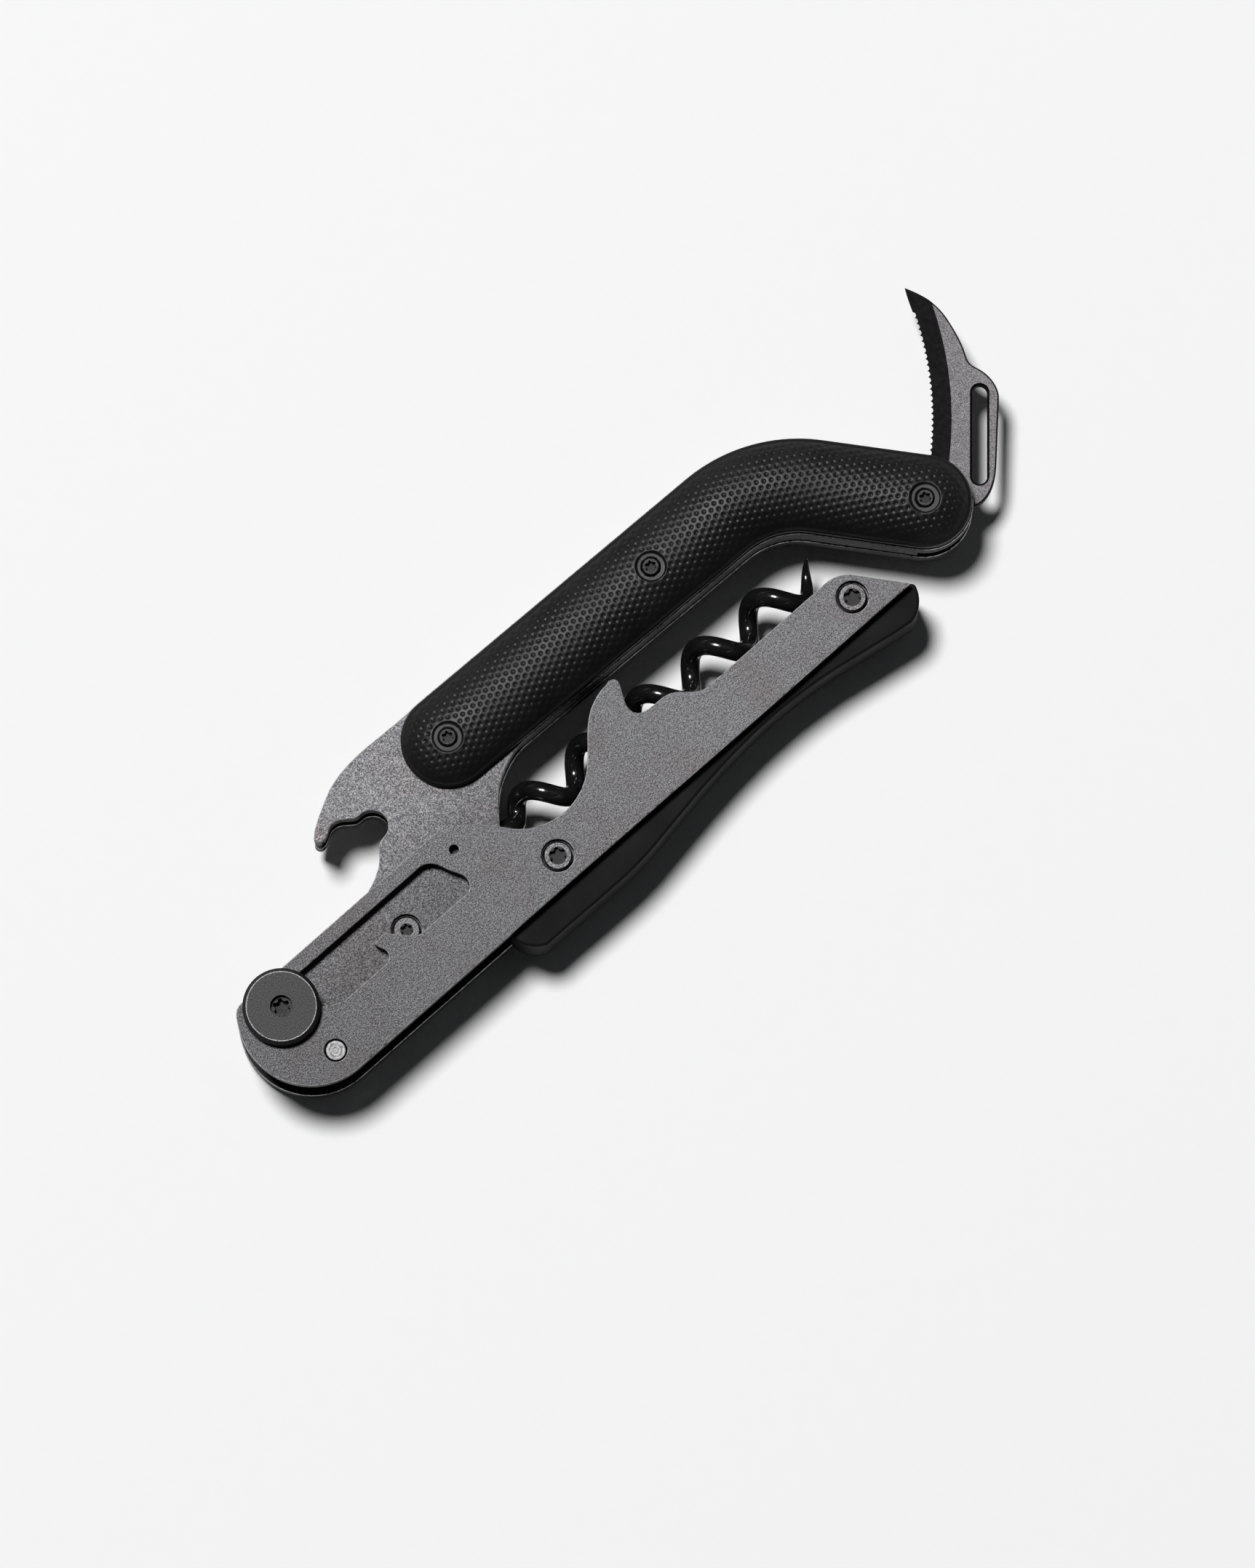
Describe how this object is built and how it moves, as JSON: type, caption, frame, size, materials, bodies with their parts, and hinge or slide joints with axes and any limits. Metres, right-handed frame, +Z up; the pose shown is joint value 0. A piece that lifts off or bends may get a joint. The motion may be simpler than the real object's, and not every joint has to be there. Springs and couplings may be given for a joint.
{
  "type": "waiters corkscrew",
  "caption": "Folding corkscrew with a plated handle, bottle-opener beak, hinged stepped lever, helical worm and a folding foil blade with a finger slot.",
  "frame": {"origin": "bottom centre of the whole tool, lying flat with the blade open", "axes": "+X along the lever from its pivot, +Y from the lever to the handle, +Z up through the stack"},
  "size_m": [0.1424, 0.0376, 0.016],
  "materials": {
    "plate_steel": "bead-blasted dark grey",
    "grip_black": "dimpled matte",
    "spine_black": "satin",
    "cap_steel": "blasted, worn rim",
    "core_steel": "satin",
    "screw_steel": "satin",
    "bright_steel": "turned",
    "washer_brass": "plain",
    "worm_black": "gloss coating",
    "blade_steel": "blasted flat, dark bevel"
  },
  "bodies": {
    "handle": {"chassis_plate_front": "plate_steel", "chassis_plate_rear": "plate_steel", "grip_front": "grip_black", "grip_rear": "grip_black", "pivot_cap_front": "cap_steel", "pivot_cap_rear": "cap_steel", "handle_core": "core_steel", "neck_spacer": "core_steel", "chassis_screw_front": "screw_steel", "chassis_screw_rear": "screw_steel", "grip_screws_front": "screw_steel", "grip_screws_rear": "screw_steel", "pivot_screw_front": "screw_steel", "pivot_screw_rear": "screw_steel", "grip_barrels": "bright_steel", "blade_pivot": "bright_steel", "pivot_barrel": "bright_steel", "worm_pin": "bright_steel", "blade_washer_front": "washer_brass", "blade_washer_rear": "washer_brass"},
    "lever": {"lever_plate_front": "plate_steel", "lever_plate_rear": "plate_steel", "lever_spine": "spine_black", "lever_screws_front": "screw_steel", "lever_screws_rear": "screw_steel", "lever_dowel": "bright_steel", "lever_barrels": "bright_steel"},
    "worm": {"worm": "worm_black"},
    "blade": {"blade": "blade_steel"}
  },
  "joints": [
    {"name": "lever_hinge", "type": "hinge", "parent": "handle", "child": "lever", "pos_m": [-0.06366, -0.00115, 0.008], "axis": [0, 0, -1], "range_deg": [0, 150]},
    {"name": "worm_hinge", "type": "hinge", "parent": "handle", "child": "worm", "pos_m": [-0.03105, -0.00035, 0.008], "axis": [0, 0, -1], "range_deg": [0, 90]},
    {"name": "blade_hinge", "type": "hinge", "parent": "handle", "child": "blade", "pos_m": [0.05077, -0.00698, 0.008], "axis": [0, 0, 1], "range_deg": [0, 82]}
  ],
  "couplings": [
    {"joint": "worm_hinge", "follows": "lever_hinge", "ratio": 0.6}
  ]
}
